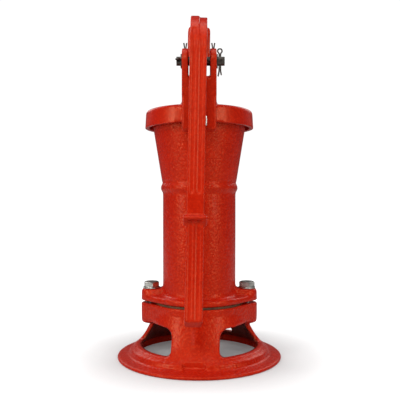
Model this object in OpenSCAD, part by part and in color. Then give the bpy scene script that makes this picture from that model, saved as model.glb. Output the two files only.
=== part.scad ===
// Hand pitcher pump: cast base with three windows, cylinder with a reservoir cone and a spout,
// revolving cap with a fulcrum bracket, long lever handle, and the plunger and valves inside.
// Millimetres, +Z up. The origin is the middle of the foot on the ground. The spout points to +Y
// and the handle hangs on the -Y side.

/* [Foot and base] */
// Radius of the round foot
foot_r = 99.4; // [95:0.2:105]
// Thickness of the foot at its edge
foot_edge_h = 3.6; // [3:0.2:5]
// Outside radius of the raised step ring on the foot
step_r = 84; // [83:0.5:88]
// Height of the raised step ring
step_h = 12; // [10:0.5:12]
// Thickness of the flared wall
base_wall = 6; // [4:0.5:7]
// Height of the top face of the base
base_top = 65.5; // [64:0.5:68]
// Thickness of the valve seat plate
seat_plate_h = 10; // [8:0.5:12]
// Width of each of the three legs between the windows
leg_w = 54.5; // [45:0.5:60]
// Turn of the legs from the handle's plane, in degrees
leg_turn = -4; // [-10:1:10]
// Lowest point of the windows
window_low = 16; // [14:0.5:20]
// Highest point of the windows
window_high = 43; // [38:0.5:46]
// Width of the notch in the step ring in front of each leg
notch_w = 25.5; // [15:0.5:35]
// Radius of the pipe thread in the suction inlet
inlet_r = 20; // [18:0.1:21]
// Length of the pipe thread in the suction inlet
inlet_len = 22; // [16:1:24]

/* [Flange joint] */
// Outside radius of the flanges
flange_r = 55; // [52:0.5:58]
// Distance of each flange bolt from the axis
bolt_x = 58.4; // [57:0.2:60]
// Radius of the rounded end of each ear
ear_r = 12.6; // [11:0.2:14]
// Height of the ears of the base
base_ear_h = 25; // [20:0.5:28]
// Thickness of the leather between the flanges
gasket_h = 2.5; // [1.5:0.5:3]
// Thickness of the cylinder's flange
flange_h = 7; // [6:0.5:9]
// Height of the cylinder's ears
ear_h = 14.5; // [12:0.5:16]
// Radius of the bolt shanks
bolt_r = 4.9; // [4:0.1:5]
// Width across the flats of the bolt heads
bolt_flats = 17; // [16:0.5:19]

/* [Cylinder and spout] */
// Radius of the bore
bore_r = 38.1; // [38:0.05:38.2]
// Outside radius of the cylinder
cyl_r = 44.4; // [43.5:0.1:46]
// Height of the middle of the bead round the cylinder
bead_z = 205; // [203:0.5:206]
// Outside radius of the bead
bead_r = 47; // [46:0.1:48]
// Outside radius of the reservoir at its foot
cone_low_r = 45.5; // [45:0.1:46]
// Outside radius of the reservoir at its lip
cone_top_r = 58.5; // [57:0.1:59]
// Height of the reservoir's lip
lip_z = 292; // [290:0.5:292]
// Height of the middle of the spout where it leaves the reservoir
spout_z = 246; // [243:0.5:248]
// Outside radius of the spout
spout_r = 21; // [19:0.5:22]
// Thickness of the spout's wall
spout_wall = 4.5; // [4:0.5:5]
// Angle that the spout turns down, in degrees
spout_bend = 65; // [50:1:75]

/* [Cap and bracket] */
// Outside radius of the cap's skirt at its lower edge
skirt_r = 66; // [65.5:0.1:67]
// Height of the skirt's lower edge
skirt_z = 277; // [275:0.5:279]
// Height of the cap's top
cap_top = 298; // [297:0.5:300]
// Height of the fulcrum above the ground
fulcrum_z = 346; // [344:0.5:348]
// Distance of the fulcrum behind the axis
fulcrum_back = 58; // [57:0.5:59]
// Gap between the two bracket plates
bracket_gap = 24.4; // [24:0.2:26]
// Thickness of each bracket plate
bracket_t = 7.1; // [6:0.1:8]
// Radius of the rounded top of the bracket
bracket_r = 14; // [12:0.5:15]
// Height of the set screw
set_screw_z = 276.5; // [274:0.5:279]

/* [Handle] */
// Height of the rod pin at rest
rod_pin_z = 370; // [369:0.5:371]
// Radius of both pins
pin_r = 5; // [4.8:0.05:5]
// Width of the handle's arm
arm_w = 18.6; // [16:0.2:19.5]
// Thickness of the handle's arm
arm_t = 12.5; // [10:0.5:14]
// Width of the fork that holds the rod
fork_w = 27; // [25:0.5:28]
// Gap in the fork
fork_gap = 13; // [12.5:0.1:13.5]
// Top of the handle
handle_top = 399; // [397:0.5:400]
// Sideways lean of the hanging lever, in degrees
arm_lean = 1; // [0:0.05:1.2]
// Width of the collar above the grip
collar_w = 24.8; // [22:0.2:26]
// Top of the collar
collar_z = 176; // [172:0.5:180]

/* [Plunger] */
// Radius of the plunger rod
rod_r = 5.5; // [5:0.1:5.8]
// Lowest point of the plunger at rest
plunger_z = 154; // [152:0.5:156]
// Gap between the cup leather and the bore
cup_gap = 0.3; // [0.2:0.05:0.5]

/* [Hidden] */
$fn = 96;
fit = 0.05;          // radial clearance of pins in their holes
over = 1;            // how far a cut runs past a face
steps = 24;          // straight pieces in a curve
flange_z = base_top + gasket_h;
ear_top = flange_z + ear_h;
pin_y = -fulcrum_back;
fork_r = 13;         // rounded end of the fork round its pin
skirt_wall = 5;
cap_plate_h = 4.7;
boss_back = 72;      // rear face of the bracket and its boss
bracket_half = bracket_gap / 2 + bracket_t;
seat_hole_r = 15;
inlet_out_r = 25;
inlet_low = base_top - seat_plate_h - 31.5;
cavity_r = flange_r - base_wall - 2.5;
flange_low = window_high + 1;            // underside of the base's oval flange
ear_cut = 8;         // how far the thick part of an ear reaches in from its bolt
flare = [[81, step_h + 0.2], [70, 20], [56, 44], [flange_r - 1.5, base_top]];
crest_c = [-45, 351];                    // middle of the bend at the top of the handle
crest_r = handle_top - crest_c[1];
arm_y = crest_c[0] - crest_r + arm_t / 2;  // centre line where the arm leaves the bend
arm_up = [[arm_y, 351], [arm_y, 290], [-100, 205], [-100, 165]];
arm_low = [[-100, 165], [-100, 130], [-106, 100], [-117.4, 66]];
grip_end_z = 59;
bend_r = 34;         // centre line of the spout's bend
bend_y = 66.6;
spout_lip = 12;      // straight stretch at the mouth
lip_back = 4;        // how far the thicker lip reaches back over the bend
head_h = 6.4;        // bolt head
washer_h = 1.8;
cup_z = plunger_z + 8;
cup_base_h = 3.5;
cup_h = 20;
neck_top = cup_z + 9.5;
hub_z = plunger_z + 34;
hub_top = hub_z + 18;
nut_h = 8;
rod_low = hub_top - 6;
eye_half = 8.9;      // half length of the slot in the rod's eye
eye_mid = 1.2;       // the slot's middle, towards the spout
eye_rise = 5.5;      // half height of the slot
cotter_r = 1.6;
red = "firebrick";
steel = "silver";
dark = "dimgray";

// Points of an arc, of a cubic curve and of a line beside that curve.
function arc(c, r, a, b, n = steps) =
    [for (i = [0 : n]) c + r * [cos(a + (b - a) * i / n), sin(a + (b - a) * i / n)]];
function curve_at(p, t) =
    pow(1 - t, 3) * p[0] + 3 * t * pow(1 - t, 2) * p[1] + 3 * t * t * (1 - t) * p[2] + pow(t, 3) * p[3];
function curve_dir(p, t) =
    let (d = pow(1 - t, 2) * (p[1] - p[0]) + 2 * t * (1 - t) * (p[2] - p[1]) + t * t * (p[3] - p[2]))
    d / norm(d);
function beside(p, w, n = steps) =
    [for (i = [0 : n]) let (d = curve_dir(p, i / n)) curve_at(p, i / n) + w * [-d[1], d[0]]];
function reversed(p) = [for (i = [len(p) - 1 : -1 : 0]) p[i]];
function flipped(p) = [for (i = [len(p) - 1 : -1 : 0]) [-p[i][0], p[i][1]]];

// A side view (Y across, Z up) given the thickness w along X.
module side_plate(w) {
    rotate([90, 0, 90]) translate([0, 0, -w / 2]) linear_extrude(w) children();
}

module cyl_x(r, x0, x1, y, z) {
    translate([x0, y, z]) rotate([0, 90, 0]) cylinder(r = r, h = x1 - x0);
}

module hexagon(flats, h) {
    cylinder(r = flats / sqrt(3), h = h, $fn = 6);
}

// Ring with an ear at each side, joined by straight tangents.
module oval_flange(h) {
    tangent = acos((flange_r - ear_r) / bolt_x);
    half = concat(arc([bolt_x, 0], ear_r, -tangent, tangent),
                  arc([0, 0], flange_r, tangent, 180 - tangent));
    linear_extrude(h) polygon(concat(half, [for (p = half) -p]));
}

// Thick ears across the flange, a little inside its outline.
module ear_blocks(h) {
    r = ear_r - 0.6;
    linear_extrude(h) polygon(concat(arc([bolt_x, 0], r, -90, 90), arc([-bolt_x, 0], r, 90, 270)));
}

module at_bolts() {
    for (side = [-1, 1]) translate([side * bolt_x, 0, 0]) children();
}

module at_legs() {
    for (k = [0 : 2]) rotate(leg_turn + 120 * k) children();
}

// Face of one leg: straight sides, spreading into the rings below and above.
module leg_face() {
    low = 5;
    high = 9;
    half = leg_w / 2;
    right = concat(arc([half + low, window_low + low], low, 270, 180, 4),
                   arc([half + high, window_high - high], high, 180, 90, 5));
    polygon(concat(right, flipped(right)));
}

module base_windows() {
    difference() {
        translate([0, 0, window_low]) difference() {
            cylinder(r = foot_r, h = window_high - window_low);
            translate([0, 0, -over]) cylinder(r = inlet_out_r + 5, h = window_high);
        }
        at_legs() rotate([90, 0, 0]) linear_extrude(foot_r + over) leg_face();
    }
}

module base_casting() color(red) {
    outer = beside(flare, 0, 10);
    inner = beside(flare, base_wall, 10);
    difference() {
        union() {
            difference() {
                rotate_extrude() polygon(concat(
                    [[inner[0][0], 0], [foot_r - 0.8, 0], [foot_r, 0.8], [foot_r, foot_edge_h - 0.8],
                     [foot_r - 1, foot_edge_h], [step_r + 2, foot_edge_h + 2],
                     [step_r, foot_edge_h + 3.4], [step_r, step_h - 1.6], [step_r - 1.6, step_h]],
                    outer, reversed(inner)));
                base_windows();
            }
            difference() {
                union() {
                    translate([0, 0, flange_low]) oval_flange(base_top - flange_low);
                    translate([0, 0, base_top - base_ear_h]) ear_blocks(base_ear_h - 1);
                }
                cylinder(r = cavity_r, h = base_top - seat_plate_h);
                translate([ear_cut - bolt_x, -foot_r, 0])
                    cube([2 * (bolt_x - ear_cut), 2 * foot_r, flange_low - 0.5]);
            }
            translate([0, 0, base_top - seat_plate_h]) cylinder(r = flange_r - 4, h = seat_plate_h);
            translate([0, 0, inlet_low]) cylinder(r = inlet_out_r, h = base_top - inlet_low);
        }
        translate([0, 0, inlet_low - over]) cylinder(r = inlet_r, h = inlet_len + over);
        cylinder(r = seat_hole_r, h = base_top + over);
        at_bolts() translate([0, 0, base_top - 20]) cylinder(r = bolt_r + fit, h = 20 + over);
        at_legs() translate([-notch_w / 2, -step_r - 6, foot_edge_h + 2.6])
            cube([notch_w, 11, step_h]);
    }
}

// The spout's centre line: straight out, round a bend and down to the mouth.
module spout_tube(r, inside) {
    translate([0, inside, spout_z]) rotate([-90, 0, 0]) cylinder(r = r, h = bend_y - inside);
    translate([0, bend_y, spout_z - bend_r]) rotate([0, -90, 0])
        rotate_extrude(angle = spout_bend) translate([bend_r, 0]) circle(r);
}

module spout_mouth(r, back, h) {
    translate([0, bend_y, spout_z - bend_r]) rotate([-spout_bend, 0, 0])
        translate([0, -back, bend_r]) rotate([-90, 0, 0]) cylinder(r = r, h = back + h);
}

module cylinder_casting() color(red) {
    cone_low_z = bead_z + 7.8;
    bead_half = 6;
    lip_in = cone_top_r - 5.5;
    channel_r = spout_r - spout_wall;
    difference() {
        union() {
            rotate_extrude() polygon(concat(
                [[0, flange_z], [cyl_r + 5, flange_z]],
                arc([cyl_r + 5, flange_z + flange_h + 5], 5, 270, 180, 6),
                [[cyl_r, bead_z - bead_half]],
                arc([cyl_r - 4.5, bead_z], bead_r - cyl_r + 4.5, -55, 55, 10),
                [[cone_low_r, cone_low_z], [cone_top_r, lip_z], [0, lip_z]]));
            translate([0, 0, flange_z]) oval_flange(flange_h);
            translate([0, 0, flange_z]) ear_blocks(ear_h);
            spout_tube(spout_r, 0);
            spout_mouth(spout_r + 1.5, lip_back, spout_lip);
            translate([0, bend_y + 12, spout_z + spout_r - 4]) rotate([0, 90, 0])
                cylinder(r = 5, h = 8, center = true);
        }
        translate([0, 0, flange_z - over]) cylinder(r = bore_r, h = bead_z + 9 - flange_z + over);
        rotate_extrude() polygon([[0, bead_z + 5], [bore_r, bead_z + 5], [bore_r, bead_z + 9],
                                  [lip_in, lip_z + over], [0, lip_z + over]]);
        spout_tube(channel_r, 20);
        spout_mouth(channel_r + 0.4, lip_back - 1, spout_lip + over);
        at_bolts() translate([0, 0, flange_z - over]) cylinder(r = bolt_r + 0.5, h = ear_h + 2 * over);
    }
}

module flange_gasket() color("saddlebrown") {
    translate([0, 0, base_top]) difference() {
        cylinder(r = flange_r - 1, h = gasket_h);
        translate([0, 0, -over]) cylinder(r = bore_r, h = gasket_h + 2 * over);
        at_bolts() translate([0, 0, -over]) cylinder(r = bolt_r + 1, h = gasket_h + 2 * over);
    }
}

module flange_bolts() color(steel) {
    shank = ear_h + gasket_h + 18;
    at_bolts() {
        translate([0, 0, ear_top + washer_h]) rotate(12) hexagon(bolt_flats, head_h);
        translate([0, 0, ear_top + washer_h - shank]) cylinder(r = bolt_r, h = shank);
    }
}

module flange_washers() color(steel) {
    at_bolts() translate([0, 0, ear_top]) difference() {
        cylinder(r = 10.4, h = washer_h);
        translate([0, 0, -over]) cylinder(r = bolt_r + 0.4, h = washer_h + 2 * over);
    }
}

// Leather clack over the inlet, with a tongue that ends in a rounded edge on its hinge line.
module valve_flap() color("saddlebrown") {
    tongue = 18;
    hinge_y = 35;
    translate([0, 0, base_top]) difference() {
        union() {
            cylinder(r = 23, h = gasket_h);
            translate([-tongue / 2, 0, 0]) cube([tongue, hinge_y, gasket_h]);
            cyl_x(gasket_h / 2, -tongue / 2, tongue / 2, hinge_y, gasket_h / 2);
        }
        translate([0, 0, -over]) cylinder(r = 3.2, h = gasket_h + 2 * over);
    }
}

module valve_weight() color(dark) {
    translate([0, 0, flange_z]) rotate_extrude()
        polygon([[3.2, 0], [14, 0], [14, 4], [11, 9], [9, 10], [3.2, 10]]);
}

module valve_screw() color("goldenrod") {
    translate([0, 0, flange_z + 10]) cylinder(r = 5, h = 3);
    translate([0, 0, base_top - 2]) cylinder(r = 3, h = gasket_h + 12.5);
    translate([0, 0, base_top - 2]) cylinder(r = 8, h = 2);
}

module bracket_plate() {
    side_plate(bracket_t) polygon(concat(
        arc([pin_y, fulcrum_z], bracket_r, 180, 0),
        [[pin_y + 26, cap_top - 4], [1 - skirt_r, cap_top - 4],
         [1 - skirt_r, skirt_z - 11], [4 - boss_back, skirt_z - 12], [-boss_back, skirt_z - 8]]));
}

module cap_casting() color(red) {
    in_r = skirt_r - skirt_wall;
    rod_hole_r = 17;
    difference() {
        union() {
            rotate_extrude() polygon(concat(
                [[rod_hole_r, cap_top - cap_plate_h], [in_r, cap_top - cap_plate_h], [in_r, skirt_z],
                 [skirt_r, skirt_z]],
                arc([skirt_r - 5, cap_top - 4], 4, 0, 90, 6),
                [[rod_hole_r, cap_top]]));
            for (side = [-1, 1]) translate([side * (bracket_gap + bracket_t) / 2, 0, 0]) bracket_plate();
            side_plate(bracket_gap + 2) polygon([[-boss_back, skirt_z - 8], [4 - boss_back, skirt_z - 12],
                [1 - skirt_r, skirt_z - 11], [1 - skirt_r, fulcrum_z - 20], [-67, fulcrum_z - 18],
                [-boss_back, fulcrum_z - 22]]);
        }
        cyl_x(pin_r + fit, -bracket_half - over, bracket_half + over, pin_y, fulcrum_z);
        translate([0, -in_r, set_screw_z]) rotate([90, 0, 0]) cylinder(r = bolt_r + fit, h = 20);
    }
}

module cap_set_screw() color(steel) {
    tip = 57.4;      // just clear of the reservoir
    translate([0, -tip, set_screw_z]) rotate([90, 0, 0]) cylinder(r = bolt_r, h = boss_back - tip + 2);
    translate([0, -boss_back, set_screw_z]) rotate([90, 0, 0]) hexagon(bolt_flats, 7);
}

// Whole lever seen from the side: fork, crest, arm, grip, and the lug round the fulcrum.
module lever_outline() {
    fulcrum = [pin_y, fulcrum_z];
    t = arm_t / 2;
    notch = 4;
    tip = arm_low[3];
    polygon(concat(
        arc([0, rod_pin_z], fork_r, -70, 15, 10),
        arc([-2, handle_top - fork_r], fork_r, 20, 90, 8),
        arc(crest_c, crest_r, 90, 175, 12),
        beside(arm_up, -t, 12), beside(arm_low, -t, 8),
        [tip + [t * 0.4, grip_end_z - tip[1]]],
        reversed(beside(arm_low, t, 8)), reversed(beside(arm_up, t, 12)),
        arc([arm_y + t + notch, crest_c[1] + 2], notch, 165, 30, 5),
        arc(fulcrum, fork_r, 170, 290, 10)));
}

// The front of the same outline, where the fork is wider.
module fork_outline() {
    front = 18;
    polygon(concat(
        arc([0, rod_pin_z], fork_r - 0.4, -70, 15, 10),
        arc([-2, handle_top - fork_r], fork_r - 0.4, 20, 90, 8),
        [[-front, handle_top - 0.4], [-front, rod_pin_z - fork_r + 2]]));
}

module collar_outline() {
    polygon([[-94, collar_z - 1], [-109.5, collar_z - 2], [-111.5, collar_z - 4],
             [-105, collar_z - 13], [-94, collar_z - 12]]);
}

module handle() color(red) {
    cut_r = 20;      // swing of the rod's eye inside the fork
    difference() {
        translate([0, 0, handle_top]) rotate([0, arm_lean, 0]) translate([0, 0, -handle_top]) {
            side_plate(arm_w) lever_outline();
            side_plate(fork_w) fork_outline();
            side_plate(collar_w) collar_outline();
        }
        cyl_x(cut_r, -fork_gap / 2, fork_gap / 2, 0, rod_pin_z);
        cyl_x(pin_r + fit, -fork_w, fork_w, 0, rod_pin_z);
        cyl_x(pin_r + fit, -fork_w, fork_w, pin_y, fulcrum_z);
    }
}

// Split pin along Z: eye on top, two legs spread at the bottom.
module cotter(len, spread) {
    translate([0, 0, 2.6]) rotate([90, 0, 0]) rotate_extrude() translate([2.2, 0]) circle(0.9);
    translate([0, 0, -len]) cylinder(r = cotter_r, h = len + 0.6);
    for (side = [-1, 1]) translate([side * 0.6, 0, -len]) rotate([0, 180 - side * spread, 0])
        cylinder(r = 0.9, h = 6);
}

module pin_with_holes(left, right, y, z, holes) {
    difference() {
        cyl_x(pin_r, left, right, y, z);
        for (h = holes) translate([h[0], y, z]) rotate([h[1], 0, 0])
            cylinder(r = cotter_r + 0.2, h = 3 * pin_r, center = true);
    }
}

module fulcrum_pin() color(dark) {
    pin_with_holes(-25.5, 28.5, pin_y, fulcrum_z, [[-23.2, 90], [23.2, 0]]);
}

module fulcrum_washers() color(dark) {
    for (side = [-1, 1]) difference() {
        cyl_x(8, side * (bracket_half + 0.75) - 0.75, side * (bracket_half + 0.75) + 0.75, pin_y, fulcrum_z);
        cyl_x(pin_r + 0.2, -30, 30, pin_y, fulcrum_z);
    }
}

module fulcrum_cotters() color(dark) {
    translate([23.2, pin_y, fulcrum_z + 9]) cotter(20, 12);
    translate([-23.2, pin_y - 7, fulcrum_z]) rotate([90, 0, 0]) cotter(15, 12);
}

module rod_pin() color(dark) {
    pin_with_holes(-20, 20, 0, rod_pin_z, [[-17.2, 0], [17.2, 0]]);
}

module rod_cotters() color(dark) {
    for (side = [-1, 1]) translate([side * 17.2, 0, rod_pin_z - 7]) rotate([180, 0, 0]) cotter(14, 10);
}

// Plunger rod with an eye at the top; the slot takes the swing of the fork.
module piston_rod() color(steel) {
    eye_t = 11;
    outer_half = eye_half + 6;
    outer_rise = eye_rise + 6.5;
    eye_z = rod_pin_z - 0.15;
    difference() {
        union() {
            translate([0, 0, rod_low]) cylinder(r = rod_r, h = eye_z - outer_rise + 2 - rod_low);
            translate([-eye_t / 2, eye_mid - outer_half + outer_rise, eye_z - outer_rise])
                cube([eye_t, 2 * (outer_half - outer_rise), 2 * outer_rise]);
            for (side = [-1, 1])
                cyl_x(outer_rise, -eye_t / 2, eye_t / 2, eye_mid + side * (outer_half - outer_rise), eye_z);
        }
        translate([-eye_t, eye_mid - eye_half + eye_rise, eye_z - eye_rise])
            cube([2 * eye_t, 2 * (eye_half - eye_rise), 2 * eye_rise]);
        for (side = [-1, 1])
            cyl_x(eye_rise, -eye_t, eye_t, eye_mid + side * (eye_half - eye_rise), eye_z);
        translate([0, 0, rod_low - over]) difference() {
            cylinder(r = rod_r + over, h = hub_top + nut_h + 6 - rod_low + over);
            cylinder(r = rod_r - 0.5, h = 60);
        }
    }
}

module rod_lock_nut() color(steel) {
    translate([0, 0, hub_top]) difference() {
        hexagon(18, nut_h);
        translate([0, 0, -over]) cylinder(r = rod_r - 0.45, h = nut_h + 2 * over);
    }
}

module plunger_cage() color("darkgoldenrod") {
    pillar = 7;
    ring_z = cup_z + cup_base_h;
    difference() {
        union() {
            translate([0, 0, ring_z]) difference() {
                cylinder(r = 33.8, h = 6.5);
                translate([0, 0, -over]) cylinder(r = 20, h = 10);
            }
            for (k = [0 : 2]) rotate(120 * k) {
                translate([23, -pillar / 2, ring_z]) cube([pillar, pillar, hub_z + 6 - ring_z]);
                translate([0, -pillar / 2, hub_z]) cube([30, pillar, 6]);
            }
            translate([0, 0, hub_z]) cylinder(r = 11, h = hub_top - hub_z);
        }
        translate([0, 0, hub_z - over]) cylinder(r = 3.8, h = 11.5 + over);
        translate([0, 0, rod_low - 0.4]) cylinder(r = rod_r - 0.45, h = 12);
    }
}

module cup_leather() color("saddlebrown") {
    out_r = bore_r - cup_gap;
    rotate_extrude() polygon([[20.2, cup_z], [out_r - 1.5, cup_z], [out_r, cup_z + 1.5],
                              [out_r, cup_z + cup_h], [out_r - 1.6, cup_z + cup_h],
                              [out_r - 3.4, cup_z + cup_base_h], [20.2, cup_z + cup_base_h]]);
}

module plunger_follower() color("darkgoldenrod") {
    rotate_extrude() polygon([[13, plunger_z], [31, plunger_z], [33, plunger_z + 2], [33, cup_z],
                              [19.8, cup_z], [19.8, neck_top], [13, neck_top]]);
}

module poppet_valve() color("goldenrod") {
    disc_z = neck_top + 2;
    rotate_extrude() polygon([[0, disc_z], [17, disc_z], [17, disc_z + 3], [8, disc_z + 4.5],
                              [3.5, disc_z + 5], [3.5, hub_z + 2.5], [0, hub_z + 3.5]]);
}

module poppet_seal() color("saddlebrown") {
    translate([0, 0, neck_top]) cylinder(r = 17.5, h = 2);
}

base_casting();
cylinder_casting();
flange_gasket();
flange_bolts();
flange_washers();
valve_flap();
valve_weight();
valve_screw();
cap_casting();
cap_set_screw();
handle();
fulcrum_pin();
fulcrum_washers();
fulcrum_cotters();
rod_pin();
rod_cotters();
piston_rod();
rod_lock_nut();
plunger_cage();
cup_leather();
plunger_follower();
poppet_valve();
poppet_seal();
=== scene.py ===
import bpy
import bmesh
from math import cos, pi, radians, sin, sqrt
from mathutils import Matrix, Vector


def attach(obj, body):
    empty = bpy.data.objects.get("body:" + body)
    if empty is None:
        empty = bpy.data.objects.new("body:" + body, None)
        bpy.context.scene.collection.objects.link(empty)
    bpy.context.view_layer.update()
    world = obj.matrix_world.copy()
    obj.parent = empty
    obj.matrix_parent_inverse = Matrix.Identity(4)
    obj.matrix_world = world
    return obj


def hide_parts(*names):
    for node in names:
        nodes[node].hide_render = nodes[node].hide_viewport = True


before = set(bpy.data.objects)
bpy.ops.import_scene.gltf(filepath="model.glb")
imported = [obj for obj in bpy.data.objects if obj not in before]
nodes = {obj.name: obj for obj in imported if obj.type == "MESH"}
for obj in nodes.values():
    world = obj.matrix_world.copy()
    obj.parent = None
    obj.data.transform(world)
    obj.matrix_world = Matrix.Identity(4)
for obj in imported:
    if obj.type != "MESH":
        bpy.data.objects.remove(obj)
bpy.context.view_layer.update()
scene = bpy.context.scene
mm = 0.001
print("frame loaded", len(nodes), "nodes")


# the shape helpers below take lengths in millimetres and angles in degrees
def newObject(name, bm):
    mesh = bpy.data.meshes.new(name)
    bm.to_mesh(mesh)
    bm.free()
    obj = bpy.data.objects.new(name, mesh)
    scene.collection.objects.link(obj)
    return obj


def place(name, bm, merge=0.002):
    # a new object from a bmesh, merged, with its normals outwards
    bmesh.ops.remove_doubles(bm, verts=bm.verts, dist=merge * mm)
    bmesh.ops.recalc_face_normals(bm, faces=bm.faces)
    return newObject(name, bm)


def arc(centre, radius, start, end, count=12):
    turn = [radians(start + (end - start) * i / count) for i in range(count + 1)]
    return [(centre[0] + radius * cos(a), centre[1] + radius * sin(a)) for a in turn]


def bezier(p, count):
    # points on a cubic curve through four control points
    points = []
    for i in range(count + 1):
        t = i / count
        k = ((1 - t) ** 3, 3 * t * (1 - t) ** 2, 3 * t * t * (1 - t), t ** 3)
        points.append(tuple(sum(k[j] * p[j][axis] for j in range(4)) for axis in range(2)))
    return points


def turned(name, profile, steps=96, closed=True):
    # profile of (radius, height) spun round the Z axis
    bm = bmesh.new()
    verts = [bm.verts.new((r * mm, 0, z * mm)) for r, z in profile]
    edges = [bm.edges.new(pair) for pair in zip(verts, verts[1:])]
    if closed:
        edges.append(bm.edges.new((verts[-1], verts[0])))
    bmesh.ops.spin(bm, geom=verts + edges, axis=(0, 0, 1), cent=(0, 0, 0), angle=2 * pi,
                   steps=steps, use_merge=True)
    return place(name, bm)


def slab(name, outline, low, high):
    # outline of (y, z) given a thickness from low to high along X
    bm = bmesh.new()
    face = bm.faces.new([bm.verts.new((low * mm, y * mm, z * mm)) for y, z in outline])
    grown = bmesh.ops.extrude_face_region(bm, geom=[face])["geom"]
    bmesh.ops.translate(bm, vec=((high - low) * mm, 0, 0),
                        verts=[v for v in grown if isinstance(v, bmesh.types.BMVert)])
    return place(name, bm)


def sweep(name, path, section, across=(1, 0, 0)):
    # section of (u, v) carried along a path of points; u runs along across
    points = [Vector(p) * mm for p in path]
    last = len(points) - 1
    along = [(points[min(i + 1, last)] - points[max(i - 1, 0)]).normalized()
             for i in range(last + 1)]
    side = Vector(across)
    side = (side - side.dot(along[0]) * along[0]).normalized()
    up = along[0].cross(side)
    bm = bmesh.new()
    face = bm.faces.new([bm.verts.new(points[0] + (side * u + up * v) * mm)
                         for u, v in section])
    for i in range(1, last + 1):
        grown = bmesh.ops.extrude_face_region(bm, geom=[face])["geom"]
        verts = [g for g in grown if isinstance(g, bmesh.types.BMVert)]
        if i > 1 and face.is_valid:
            bm.faces.remove(face)
        face = [g for g in grown if isinstance(g, bmesh.types.BMFace)][0]
        bmesh.ops.translate(bm, vec=points[i] - points[i - 1], verts=verts)
        turn = along[i - 1].rotation_difference(along[i]).to_matrix()
        bmesh.ops.rotate(bm, cent=points[i], matrix=turn, verts=verts)
    return place(name, bm)


def ring(radius, count):
    # a round section for sweep
    return arc((0, 0), radius, 0, 360 * (count - 1) / count, count - 1)


def rod(name, start, end, radius, sides):
    # plain cylinder between two points
    a, b = Vector(start) * mm, Vector(end) * mm
    bm = bmesh.new()
    turn = Vector((0, 0, 1)).rotation_difference(b - a).to_matrix().to_4x4()
    bmesh.ops.create_cone(bm, cap_ends=True, segments=sides, radius1=radius * mm,
                          radius2=radius * mm, depth=(b - a).length,
                          matrix=Matrix.Translation((a + b) / 2) @ turn)
    return place(name, bm)


def collar(name, x, radius, hole, low, high):
    # upright collar round a bolt hole
    tube = turned(name, [(hole, low), (radius, low), (radius, high), (hole, high)], 64)
    return moved(tube, Matrix.Translation((x * mm, 0, 0)))


def ball(name, centre, radius):
    bm = bmesh.new()
    bmesh.ops.create_icosphere(bm, subdivisions=3, radius=radius * mm,
                               matrix=Matrix.Translation(Vector(centre) * mm))
    return place(name, bm)


def moved(obj, matrix):
    obj.data.transform(matrix)
    return obj


def applied(obj):
    # the modifiers' result becomes the mesh
    depsgraph = bpy.context.evaluated_depsgraph_get()
    result = bpy.data.meshes.new_from_object(obj.evaluated_get(depsgraph))
    obj.modifiers.clear()
    obj.data = result
    return obj


def drop(obj):
    bpy.data.objects.remove(obj)


def carve(obj, tool, operation="DIFFERENCE"):
    # the tool is used up
    m = obj.modifiers.new("carve", "BOOLEAN")
    m.operation, m.object, m.solver = operation, tool, "EXACT"
    bpy.context.view_layer.update()
    applied(obj)
    drop(tool)
    return obj


def joined(name, parts):
    # loose parts of one piece in a single mesh
    bm = bmesh.new()
    for p in parts:
        bm.from_mesh(p.data)
        drop(p)
    return newObject(name, bm)


def copyOf(node, name):
    # a merged copy of a CAD node to work on
    bm = bmesh.new()
    bm.from_mesh(nodes[node].data)
    return place(name, bm, merge=0.005)


def castSkin(obj, voxel, smooth):
    # even skin with the soft edges of a sand casting
    m = obj.modifiers.new("skin", "REMESH")
    m.mode, m.voxel_size, m.use_smooth_shade = "VOXEL", voxel * mm, True
    s = obj.modifiers.new("soft", "SMOOTH")
    s.factor, s.iterations = 0.5, smooth
    bpy.context.view_layer.update()
    return applied(obj)


def softZone(obj, inside, times):
    # rounds a junction by relaxing the vertices that inside() picks
    bm = bmesh.new()
    bm.from_mesh(obj.data)
    verts = [v for v in bm.verts if inside(*(v.co / mm))]
    for _ in range(times):
        bmesh.ops.smooth_vert(bm, verts=verts, factor=0.5, use_axis_x=True, use_axis_y=True,
                              use_axis_z=True)
    bm.to_mesh(obj.data)
    bm.free()
    return obj


def smoothShade(obj, angle=0):
    # edges sharper than the angle stay sharp; none do when it is 0
    obj.data.shade_smooth()
    if angle:
        obj.data.set_sharp_from_angle(angle=radians(angle))
    return obj


def bevelled(obj, width):
    m = obj.modifiers.new("edges", "BEVEL")
    m.width, m.segments, m.limit_method, m.angle_limit = width * mm, 2, "ANGLE", radians(35)
    m.harden_normals = False
    return obj


def newMaterial(name):
    material = bpy.data.materials.new(name)
    material.use_nodes = True
    return material, material.node_tree, material.node_tree.nodes["Principled BSDF"]


def rgb(r, g, b):
    # a screen colour in 0 to 255 as linear light
    def lin(c):
        c = c / 255
        return c / 12.92 if c < 0.04045 else ((c + 0.055) / 1.055) ** 2.4
    return lin(r), lin(g), lin(b), 1


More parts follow.
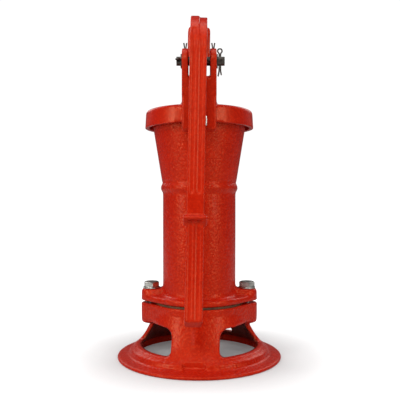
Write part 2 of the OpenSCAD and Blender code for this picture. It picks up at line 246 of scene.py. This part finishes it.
class Group:
    # a node group under construction; the helpers return output sockets
    def __init__(self, name, outputs):
        self.tree = bpy.data.node_groups.new(name, "ShaderNodeTree")
        for title, kind in outputs:
            self.tree.interface.new_socket(title, in_out="OUTPUT", socket_type=kind)
        self.out = self.add("NodeGroupOutput")
        self.coords = self.add("ShaderNodeTexCoord").outputs["Object"]

    def add(self, kind, **values):
        n = self.tree.nodes.new(kind)
        for key, value in values.items():
            setattr(n, key, value)
        return n

    def link(self, a, b):
        self.tree.links.new(a, b)

    def fill(self, n, inputs):
        for key, value in inputs.items():
            if hasattr(value, "is_linked"):
                self.link(value, n.inputs[key])
            else:
                n.inputs[key].default_value = value
        return n

    def mapped(self, scale=(1, 1, 1), location=(0, 0, 0)):
        n = self.fill(self.add("ShaderNodeMapping"), {"Scale": scale, "Location": location})
        self.link(self.coords, n.inputs["Vector"])
        return n.outputs[0]

    def noise(self, scale, detail, roughness, vector=None):
        n = self.fill(self.add("ShaderNodeTexNoise"), {
            "Scale": scale, "Detail": detail, "Roughness": roughness,
            "Vector": vector or self.coords})
        return n.outputs[0]

    def cells(self, scale, feature="F1", vector=None, smoothness=None):
        n = self.add("ShaderNodeTexVoronoi", feature=feature)
        self.fill(n, {"Scale": scale, "Vector": vector or self.coords})
        if smoothness:
            n.inputs["Smoothness"].default_value = smoothness
        return n.outputs["Distance"]

    def steps(self, value, low, high, start=0, end=1):
        # value from low to high, held at both ends, becomes start to end
        n = self.add("ShaderNodeMapRange", clamp=True)
        self.fill(n, {0: value, 1: low, 2: high, 3: start, 4: end})
        return n.outputs[0]

    def math(self, operation, a, b=0.0, c=0.0):
        n = self.add("ShaderNodeMath", operation=operation)
        return self.fill(n, {0: a, 1: b, 2: c}).outputs[0]

    def mix(self, factor, a, b):
        n = self.add("ShaderNodeMix", data_type="RGBA")
        sockets = [s for s in n.inputs if s.enabled]
        for socket, value in zip(sockets, (factor, a, b)):
            if hasattr(value, "is_linked"):
                self.link(value, socket)
            else:
                socket.default_value = value
        return [s for s in n.outputs if s.enabled][0]

    def done(self, **outputs):
        for key, value in outputs.items():
            self.link(value, self.out.inputs[key])
        return self.tree


# the groups below work in metres, as Object coordinates do
surfaceOutputs = [("Color", "NodeSocketColor"), ("Roughness", "NodeSocketFloat"),
                  ("Height", "NodeSocketFloat")]


def dressed(name, group, values, strength, distance):
    # a Principled material fed by one group
    material, tree, shader = newMaterial(name)
    g = tree.nodes.new("ShaderNodeGroup")
    g.node_tree = group
    bump = tree.nodes.new("ShaderNodeBump")
    bump.inputs["Strength"].default_value = strength
    bump.inputs["Distance"].default_value = distance * mm
    tree.links.new(g.outputs["Color"], shader.inputs["Base Color"])
    tree.links.new(g.outputs["Roughness"], shader.inputs["Roughness"])
    tree.links.new(g.outputs["Height"], bump.inputs["Height"])
    tree.links.new(bump.outputs["Normal"], shader.inputs["Normal"])
    for key, value in values.items():
        shader.inputs[key].default_value = value
    return material


def insideShadeMask(g):
    # painted shade: up to 0.8 on the inner side of the base's flared wall
    split = g.add("ShaderNodeSeparateXYZ")
    g.link(g.coords, split.inputs[0])
    x, y, z = split.outputs
    flat = g.math("SQRT", g.math("ADD", g.math("MULTIPLY", x, x), g.math("MULTIPLY", y, y)))
    wall = g.steps(z, *flaredWall["heights"], *flaredWall["radii"])
    return g.steps(g.math("SUBTRACT", wall, flat), *flaredWall["blend"], 0, flaredWall["dark"])


def paintGroup(name, grain, seed, inside=False):
    # glossy enamel over sand-cast iron: pebbles about 3 mm across, with a painted highlight on the
    # high spots
    g = Group(name, surfaceOutputs)
    at = g.mapped(location=(seed, seed * 0.7, seed * 1.3))
    cells = g.cells(paintScale["pebbles"], "SMOOTH_F1", at, smoothness=0.8)
    pebbles = g.steps(cells, 0.1, 0.75, 1, 0)
    swell = g.noise(paintScale["swell"], 2, 0.5, at)
    fine = g.noise(paintScale["fine"], 3, 0.6, at)
    broad = g.noise(paintScale["broad"], 4, 0.6, at)
    dots = g.cells(paintScale["pores"], vector=g.mapped(location=(seed + 3, 1, 2)))
    pores = g.steps(dots, 0.03, 0.1)
    relief = g.math("MULTIPLY_ADD", fine, 0.12, g.math("MULTIPLY", pores, 0.12))
    relief = g.math("MULTIPLY_ADD", swell, 0.55, relief)
    relief = g.math("MULTIPLY_ADD", pebbles, grain, relief)
    tone = g.mix(g.steps(broad, 0.35, 0.68), paintRed["deep"], paintRed["full"])
    # painted highlight: a brighter red on the tops of the pebbles and swells
    tone = g.mix(g.steps(g.math("ADD", pebbles, swell), 0.7, 1.5), tone, paintRed["paintedHighlight"])
    # painted shade: a dark red in the pits of the pores
    tone = g.mix(g.steps(pores, 0, 1, 0.45, 0), tone, paintRed["poreShade"])
    if inside:
        # painted shade: a dark red on the inner side of the flared wall
        tone = g.mix(insideShadeMask(g), tone, paintRed["inside"])
    rough = g.steps(g.noise(paintScale["gloss"], 4, 0.65, at), 0.3, 0.75, 0.27, 0.4)
    return g.done(Color=tone, Roughness=rough, Height=relief)


def metalGroup(name, light, dark, rough, scratch=(1, 1, 12)):
    # bare metal with a fine grain, clouds and a few dull spots
    g = Group(name, surfaceOutputs)
    grain = g.noise(metalScale["grain"], 4, 0.6, g.mapped(scale=scratch))
    cloud = g.noise(metalScale["cloud"], 4, 0.6)
    spots = g.steps(g.cells(metalScale["spots"]), 0.04, 0.16, 1, 0)
    tone = g.mix(g.steps(cloud, 0.32, 0.68), dark, light)
    tone = g.mix(g.math("MULTIPLY", spots, 0.35), tone, dark)
    roughness = g.math("ADD", g.steps(grain, 0.25, 0.75, *rough), g.math("MULTIPLY", spots, 0.1))
    relief = g.math("ADD", grain, g.math("MULTIPLY", cloud, 0.8))
    return g.done(Color=tone, Roughness=roughness, Height=relief)


def leatherGroup(name, light, dark):
    g = Group(name, surfaceOutputs)
    creases = g.cells(leatherScale["creases"], "DISTANCE_TO_EDGE")
    folds = g.noise(leatherScale["folds"], 4, 0.6)
    stain = g.noise(leatherScale["stain"], 5, 0.65)
    tone = g.mix(g.steps(stain, 0.35, 0.7), dark, light)
    tone = g.mix(g.steps(creases, 0.02, 0.12, 0.6, 0), tone, dark)
    relief = g.math("ADD", g.steps(creases, 0, 0.2), folds)
    return g.done(Color=tone, Roughness=g.steps(folds, 0.3, 0.7, 0.55, 0.8), Height=relief)


# where the painted shade falls on the inner side of the base's flared wall
flaredWall = {"heights": (0.012, 0.044), "radii": (0.0765, 0.0515), "blend": (0.0002, 0.0022),
              "dark": 0.8}
paintScale = {"pebbles": 380, "swell": 150, "fine": 900, "broad": 26, "pores": 240, "gloss": 60}
metalScale = {"grain": 420, "cloud": 90, "spots": 260}
leatherScale = {"creases": 620, "folds": 180, "stain": 40}
# the bright red is a painted highlight; the pore and inside reds are painted shade
paintRed = {"full": rgb(196, 27, 5), "deep": rgb(184, 21, 4), "paintedHighlight": rgb(206, 35, 8),
            "poreShade": rgb(74, 6, 4), "inside": rgb(70, 8, 4)}
paintShine = {"Specular IOR Level": 0.5, "Specular Tint": (1, 0.4, 0.16, 1), "Coat Weight": 0.04,
              "Coat Roughness": 0.15}
redBase = dressed("redPaintBase", paintGroup("basePaint", 0.8, 2.6, True), paintShine, 0.85, 0.5)
redBody = dressed("redPaintCast", paintGroup("castPaint", 0.8, 0.0), paintShine, 0.85, 0.5)
redCap = dressed("redPaintCap", paintGroup("capPaint", 0.45, 4.1), paintShine, 0.42, 0.3)
redHandle = dressed("redPaintHandle", paintGroup("handlePaint", 0.3, 8.7), paintShine, 0.36, 0.24)
zinc = dressed("zincSteel", metalGroup(
    "zincFinish", rgb(214, 212, 205), rgb(158, 156, 150), (0.24, 0.4)),
    {"Metallic": 1.0}, 0.25, 0.05)
darkSteel = dressed("darkSteel", metalGroup(
    "oiledSteel", rgb(112, 106, 100), rgb(58, 52, 48), (0.3, 0.5)), {"Metallic": 1.0}, 0.3, 0.06)
bareIron = dressed("bareIron", metalGroup(
    "castIron", rgb(96, 90, 84), rgb(56, 50, 46), (0.5, 0.72), (1, 1, 1)),
    {"Metallic": 0.85}, 0.5, 0.25)
brass = dressed("brass", metalGroup(
    "brassFinish", rgb(216, 176, 94), rgb(150, 112, 52), (0.26, 0.42), (8, 8, 1)),
    {"Metallic": 1.0}, 0.25, 0.06)
leather = dressed("leather", leatherGroup("leatherGrain", rgb(126, 78, 44), rgb(62, 36, 20)),
                  {"Specular IOR Level": 0.35}, 0.5, 0.2)
print("materials made")


def handOver(obj, material, body, slot, *replaced):
    obj.data.materials.clear()
    obj.data.materials.append(material)
    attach(obj, body)
    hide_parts(*replaced)
    print(obj.name, len(obj.data.polygons), "faces")
    return obj


def keepNode(node, material, width):
    # a CAD node that is shown as it is, with eased edges
    obj = nodes[node]
    obj.data.materials.clear()
    obj.data.materials.append(material)
    weld = obj.modifiers.new("weld", "WELD")
    weld.merge_threshold = 0.005 * mm
    bevelled(obj, width)


# foot with its legs, windows and tapped ears
base = {"voxel": 1.25, "soften": 7, "earX": 58.4, "earR": 12.5, "earHole": 5.2, "earLow": 40.5,
        "earTop": 65.3}
parts = [copyOf("base_casting", "casting")]
parts += [collar("ear", side * base["earX"], base["earR"], base["earHole"], base["earLow"],
                 base["earTop"]) for side in (-1, 1)]
obj = castSkin(joined("BaseCasting", parts), base["voxel"], base["soften"])
# under the flange, then the ears
softZone(obj, lambda x, y, z: 39 < z < 49 and 44 < sqrt(x * x + y * y) < 72, 10)
softZone(obj, lambda x, y, z: abs(x) > 42 and 36 < z < 63, 12)
smoothShade(obj)
handOver(obj, redBase, "pump", "red_paint", "base_casting")

# cylinder with its reservoir and spout
cylinder = {"voxel": 1.5, "soften": 4, "earHole": 5.6, "earLow": 68.2, "earTop": 82.4}
parts = [copyOf("cylinder_casting", "casting")]
parts += [collar("ear", side * base["earX"], base["earR"], cylinder["earHole"],
                 cylinder["earLow"], cylinder["earTop"]) for side in (-1, 1)]
obj = castSkin(joined("CylinderCasting", parts), cylinder["voxel"], cylinder["soften"])
# spout's root, then the ears
softZone(obj, lambda x, y, z: 42 < y < 62 and abs(x) < 28 and 218 < z < 274
         and sqrt(x * x + y * y) > 47, 14)
softZone(obj, lambda x, y, z: abs(x) > 40 and 70 < z < 90, 14)
smoothShade(obj)
handOver(obj, redBody, "pump", "red_paint", "cylinder_casting")

# cap with its bracket
cap = {"voxel": 0.9, "soften": 4}
obj = castSkin(copyOf("cap_casting", "CapCasting"), cap["voxel"], cap["soften"])
# feet of the bracket plates, then where the plates run down the skirt
softZone(obj, lambda x, y, z: 294 < z < 303 and 8 < abs(x) < 24 and y < -26, 14)
softZone(obj, lambda x, y, z: y < -57 and 14 < abs(x) < 27 and 262 < z < 306, 30)
smoothShade(obj)
handOver(obj, redCap, "cap", "red_paint", "cap_casting")

# lever handle; crest, arm and grip are in (y, z)
lever = {"voxel": 0.7, "thick": 12.5, "crest": (-45, 351), "crestR": 48, "top": 399, "lean": 1,
         "arm": ((-86.75, 351), (-86.75, 290), (-100, 205), (-100, 165)),
         "grip": ((-100, 165), (-100, 130), (-106, 100), (-117.4, 66)),
         "grooveX": (-4.7, 3.5), "grooveR": 5.2, "grooveOut": 4.1,
         "grooveZ": ((196, 378), (69, 168)), "stepDeep": 1.9, "stepX": (0.3, 16),
         "forkTop": (-2, 386), "forkR": 13,
         "stepBack": [(20, 388), (20, 412), (-112, 412), (-112, 351)],
         "shoulderX": 8.2, "shoulderZ": 393.6, "shoulderR": 5.2, "shoulderOut": (18, 402),
         "shoulderY": (-18, 20)}
leverPath = arc(lever["crest"], lever["crestR"] - lever["thick"] / 2, 104, 180, 16) \
    + bezier(lever["arm"], 26)[1:] + bezier(lever["grip"], 14)[1:]
lean = Matrix.Translation((0, 0, lever["top"] * mm)) \
    @ Matrix.Rotation(radians(lever["lean"]), 4, "Y") \
    @ Matrix.Translation((0, 0, -lever["top"] * mm))


def beside(path, distance):
    # the path moved sideways, to its right as it runs
    shifted = []
    for i, (y, z) in enumerate(path):
        a, b = path[max(i - 1, 0)], path[min(i + 1, len(path) - 1)]
        dy, dz = b[0] - a[0], b[1] - a[1]
        size = sqrt(dy * dy + dz * dz)
        shifted.append((y + dz / size * distance, z - dy / size * distance))
    return shifted


obj = castSkin(copyOf("handle", "LeverHandle"), lever["voxel"], 9)
# two grooves side by side, along the arm and along the grip
outer = beside(leverPath, lever["thick"] / 2 + lever["grooveOut"])
for across in lever["grooveX"]:
    for low, high in lever["grooveZ"]:
        run = [p for p in outer if low < p[1] < high]
        groove = [sweep("groove", [(across, y, z) for y, z in run], ring(lever["grooveR"], 24))]
        groove += [ball("end", (across, *run[k]), lever["grooveR"]) for k in (0, -1)]
        for tool in groove:
            carve(obj, moved(tool, lean))
# the right half of the crest is a little lower than the left
(crestY, crestZ), (forkY, forkZ) = lever["crest"], lever["forkTop"]
stepLine = arc((crestY, crestZ - lever["stepDeep"]), lever["crestR"], 178, 90, 24) \
    + arc((forkY, forkZ - lever["stepDeep"]), lever["forkR"], 90, 20, 6)
carve(obj, moved(slab("moulding", stepLine + lever["stepBack"], *lever["stepX"]), lean))
# round shoulders on the fork
x, z = lever["shoulderX"], lever["shoulderZ"]
outX, outZ = lever["shoulderOut"]
for side in (-1, 1):
    corner = arc((side * x, z), lever["shoulderR"], 90, 90 - side * 90, 8)
    corner += [(side * outX, z), (side * outX, outZ), (side * x, outZ)]
    tool = slab("shoulder", corner, *lever["shoulderY"])
    carve(obj, moved(tool, lean @ Matrix.Rotation(pi / 2, 4, "Z")))
castSkin(obj, lever["voxel"], 5)
# fork eyes, then the end of the grip
softZone(obj, lambda x, y, z: y > -20 and z > 366 and abs(x) > 9, 24)
softZone(obj, lambda x, y, z: z < 64, 24)
smoothShade(obj)
handOver(obj, redHandle, "lever", "red_paint", "handle")


# bolts, washers and the set screw
bolt = {"x": 58.4, "flats": 17, "headLow": 84.3, "headHigh": 90.7, "turn": 12, "shankR": 4.9,
        "end": 49.3, "threadTop": 72, "pitch": 1.5}
head = {"faceHigh": 0.4, "faceR": 0.47, "chamfer": 1.9, "dishR": (0.3, 0.36),
        "dishLow": (0.35, 0.2)}
washer = {"hole": 5.3, "radius": 10.4, "edge": 0.4, "low": 82.5}


def hexHead(name, flats, low, high):
    # six-sided head with a turned chamfer on top and a thin washer face below
    corner = flats / sqrt(3)
    bm = bmesh.new()
    bmesh.ops.create_cone(bm, cap_ends=True, segments=6, radius1=corner * mm, radius2=corner * mm,
                          depth=(high - low - head["faceHigh"]) * mm,
                          matrix=Matrix.Translation(
                              (0, 0, (high + low + head["faceHigh"]) / 2 * mm)))
    obj = place(name, bm)
    faceR = flats * head["faceR"]
    turning = [(0, low - 1), (corner + 1, low - 1), (corner + 1, high - head["chamfer"]),
               (faceR, high), (0, high)]
    carve(obj, turned("turning", turning, 72, closed=False), "INTERSECT")
    dish = [(0, high - head["dishLow"][0]), (flats * head["dishR"][0], high - head["dishLow"][1]),
            (flats * head["dishR"][1], high + 1), (0, high + 1)]
    carve(obj, turned("dish", dish, 48, closed=False))
    face = [(0, low), (faceR, low), (faceR, low + 1), (0, low + 1)]
    return carve(obj, turned("face", face, 48, closed=False), "UNION")


def thread(name, radius, low, high, pitch):
    # a screw thread: one notch profile carried round and up
    turns = (high - low) / pitch - 1
    perTurn, sink, crest = 28, 0.3, 0.12
    depth, half = pitch * 0.6, pitch * 0.48
    root = radius - depth
    path = []
    count = int(turns * perTurn)
    for i in range(count + 1):
        a = 2 * pi * turns * i / count
        path.append((root * cos(a), root * sin(a), low + pitch * 0.5 + pitch * turns * i / count))
    ridge = sweep("ridge", path, [(-sink, -half), (depth, -crest), (depth, crest), (-sink, half)])
    core = rod("core", (0, 0, low), (0, 0, high), root + 0.05, 40)
    return joined(name, [ridge, core])


def boltPiece(side):
    top = bolt["threadTop"]
    parts = [hexHead("head", bolt["flats"], bolt["headLow"], bolt["headHigh"]),
             rod("neck", (0, 0, top), (0, 0, bolt["headLow"] + 0.2), bolt["shankR"], 40),
             thread("thread", bolt["shankR"], bolt["end"], top, bolt["pitch"])]
    spot = Matrix.Translation((side * bolt["x"] * mm, 0, 0))
    return moved(joined("bolt", parts), spot @ Matrix.Rotation(radians(bolt["turn"]), 4, "Z"))


obj = joined("FlangeBolts", [boltPiece(-1), boltPiece(1)])
bevelled(obj, 0.25)
smoothShade(obj, 40)
handOver(obj, zinc, "pump", "zinc_steel", "flange_bolts")

# the upper edge of a punched washer is rounder than the lower one
hole, rim, low, high = washer["hole"], washer["radius"], washer["low"], bolt["headLow"]
flat = rim - washer["edge"]
parts = []
for side in (-1, 1):
    one = turned("washer", [(hole, low), (flat, low), (rim, low + 0.3), (rim, high - 0.45),
                            (flat, high), (hole, high)], 72)
    parts.append(moved(one, Matrix.Translation((side * bolt["x"] * mm, 0, 0))))
obj = joined("FlangeWashers", parts)
bevelled(obj, 0.15)
smoothShade(obj, 40)
handOver(obj, zinc, "pump", "zinc_steel", "flange_washers")

setScrew = {"z": 276.5, "y": -72, "tip": -57.4, "head": 7}
parts = [hexHead("head", bolt["flats"], 0, setScrew["head"]),
         rod("neck", (0, 0, -(setScrew["tip"] - setScrew["y"])), (0, 0, 0.5), bolt["shankR"], 40)]
obj = joined("CapSetScrew", parts)
spot = Matrix.Translation((0, setScrew["y"] * mm, setScrew["z"] * mm))
moved(obj, spot @ Matrix.Rotation(pi / 2, 4, "X"))
bevelled(obj, 0.25)
smoothShade(obj, 40)
handOver(obj, zinc, "cap", "zinc_steel", "cap_set_screw")


# split pins
pins = {"wire": 0.85, "eye": ((0, 5.0), (1.5, 4.7), (2.3, 3.6), (2.5, 2.4), (2.1, 1.2), (1.2, 0.2)),
        "leg": 0.75, "part": 0.78, "fulcrumY": -58, "fulcrumZ": 346, "fulcrumX": 23.2,
        "rodZ": 370, "rodX": 17.2, "above": 9, "behind": 7, "below": 7}


def cotterPin(name, length, spread, legs=(6, 6)):
    # bent wire: an eye above, two legs below that part by the spread
    turn = radians(spread)
    parts = []
    for side, leg in zip((-1, 1), legs):
        path = [(side * r, 0, z) for r, z in pins["eye"] + ((pins["leg"], -1.0),)]
        path += [(side * pins["leg"], 0, -length * k / 4) for k in (1, 2, 3)]
        path += [(side * pins["part"], 0, -length + 0.8)]
        path += [(side * (pins["part"] + sin(turn) * leg * k), 0, -length - cos(turn) * leg * k)
                 for k in (0.25, 0.6, 1.0)]
        parts.append(sweep("leg", path, ring(pins["wire"], 12), across=(0, 1, 0)))
    return joined(name, parts)


# the right pin stands, the left one lies with its eye towards the grip
right = moved(cotterPin("right", 20, 12, (6, 4.6)), Matrix.Translation(
    (pins["fulcrumX"] * mm, pins["fulcrumY"] * mm, (pins["fulcrumZ"] + pins["above"]) * mm)))
left = moved(cotterPin("left", 15, 12), Matrix.Translation(
    (-pins["fulcrumX"] * mm, (pins["fulcrumY"] - pins["behind"]) * mm, pins["fulcrumZ"] * mm))
    @ Matrix.Rotation(pi / 2, 4, "X"))
obj = joined("FulcrumCotters", [left, right])
smoothShade(obj, 50)
handOver(obj, darkSteel, "cap", "dark_steel", "fulcrum_cotters")
parts = [moved(cotterPin("one", 14, 10), Matrix.Translation(
    (side * pins["rodX"] * mm, 0, (pins["rodZ"] - pins["below"]) * mm))
    @ Matrix.Rotation(pi, 4, "X")) for side in (-1, 1)]
obj = joined("RodCotters", parts)
smoothShade(obj, 50)
handOver(obj, darkSteel, "lever", "dark_steel", "rod_cotters")

# pieces that keep their CAD shape, with the width of their eased edges
for node, material, slot, width in (
        ("fulcrum_pin", darkSteel, "dark_steel", 0.6), ("rod_pin", darkSteel, "dark_steel", 0.6),
        ("fulcrum_washers", darkSteel, "dark_steel", 0.25), ("piston_rod", zinc, "zinc_steel", 0.5),
        ("rod_lock_nut", zinc, "zinc_steel", 0.4), ("flange_gasket", leather, "leather", 0.3),
        ("valve_flap", leather, "leather", 0.3), ("valve_weight", bareIron, "bare_iron", 0.5),
        ("valve_screw", brass, "brass", 0.3), ("plunger_cage", brass, "brass", 0.5),
        ("plunger_follower", brass, "brass", 0.4), ("poppet_valve", brass, "brass", 0.4),
        ("cup_leather", leather, "leather", 0.3), ("poppet_seal", leather, "leather", 0.3)):
    keepNode(node, material, width)
print("kept nodes dressed")


# floor, light and camera, in metres
studio = {"camera": (0.0009, -0.682, 0.1902), "lens": 50, "sensor": 36, "middle": (0, 0, 0.2),
          "sky": 1.05, "dim": 0.1, "paper": (0.6, 0.6, 0.6, 1),
          "nearGlow": (0.076, 0.104, 0.1, 0.3), "farGlow": (0.104, 0.24, 0, 0.7)}
bm = bmesh.new()
bmesh.ops.create_grid(bm, x_segments=2, y_segments=2, size=6)
floor = place("floor", bm)
material, tree, shader = newMaterial("paper")
shader.inputs["Base Color"].default_value = studio["paper"]
shader.inputs["Roughness"].default_value = 0.9
shader.inputs["Specular IOR Level"].default_value = 0.1
# the paper glows more with distance from the pump, for the camera only
glow = Group("paperGlow", [("Glow", "NodeSocketColor")])
reach = glow.add("ShaderNodeVectorMath", operation="LENGTH")
glow.link(glow.coords, reach.inputs[0])
near = glow.steps(reach.outputs["Value"], *studio["nearGlow"])
far = glow.steps(reach.outputs["Value"], *studio["farGlow"])
ray = glow.add("ShaderNodeLightPath").outputs["Is Camera Ray"]
level = glow.math("MULTIPLY", glow.math("ADD", near, far), ray)
glow.done(Glow=glow.mix(level, (0.0, 0.0, 0.0, 1), (1.0, 1.0, 1.0, 1)))
g = tree.nodes.new("ShaderNodeGroup")
g.node_tree = glow.tree
tree.links.new(g.outputs["Glow"], shader.inputs["Emission Color"])
shader.inputs["Emission Strength"].default_value = 1.0
floor.data.materials.append(material)

# a white sky to look at that gives only a dim light
world = bpy.data.worlds.new("studio")
scene.world = world
world.use_nodes = True
tree = world.node_tree
tree.nodes["Background"].inputs["Color"].default_value = (1, 1, 1, 1)
tree.nodes["Background"].inputs["Strength"].default_value = studio["dim"]
seen = tree.nodes.new("ShaderNodeBackground")
seen.inputs["Color"].default_value = (1, 1, 1, 1)
seen.inputs["Strength"].default_value = studio["sky"]
rays = tree.nodes.new("ShaderNodeLightPath")
mixer = tree.nodes.new("ShaderNodeMixShader")
tree.links.new(rays.outputs["Is Camera Ray"], mixer.inputs[0])
tree.links.new(tree.nodes["Background"].outputs[0], mixer.inputs[1])
tree.links.new(seen.outputs[0], mixer.inputs[2])
tree.links.new(mixer.outputs[0], tree.nodes["World Output"].inputs[0])


def softbox(name, azimuth, elevation, distance, size, power):
    # area light aimed at the pump's middle; azimuth 0 is the camera side, positive to the right
    target = Vector(studio["middle"])
    a, e = radians(azimuth), radians(elevation)
    spot = target + Vector((sin(a) * cos(e), -cos(a) * cos(e), sin(e))) * distance
    light = bpy.data.lights.new(name, "AREA")
    light.shape, light.size, light.size_y = "RECTANGLE", size[0], size[1]
    light.energy = power
    lamp = bpy.data.objects.new(name, light)
    scene.collection.objects.link(lamp)
    lamp.location = spot
    lamp.rotation_euler = (spot - target).to_track_quat("Z", "Y").to_euler()
    return lamp


softbox("leftBox", -56, 20, 1.5, (0.4, 1.2), 10.5)
softbox("rightBox", 48, 18, 1.6, (0.4, 1.2), 8.8)
softbox("topBox", 0, 80, 1.6, (1.2, 1.2), 8)
softbox("backLeft", -140, 34, 1.6, (0.6, 0.9), 4)
softbox("backRight", 140, 34, 1.6, (0.6, 0.9), 4)
softbox("frontBox", -8, 34, 1.9, (0.5, 0.5), 7)

camera = bpy.data.cameras.new("camera")
camera.lens, camera.sensor_width = studio["lens"], studio["sensor"]
eye = bpy.data.objects.new("camera", camera)
scene.collection.objects.link(eye)
eye.location = studio["camera"]
eye.rotation_euler = (pi / 2, 0, 0)
scene.camera = eye
scene.view_settings.view_transform = "Standard"

print("scene finished")
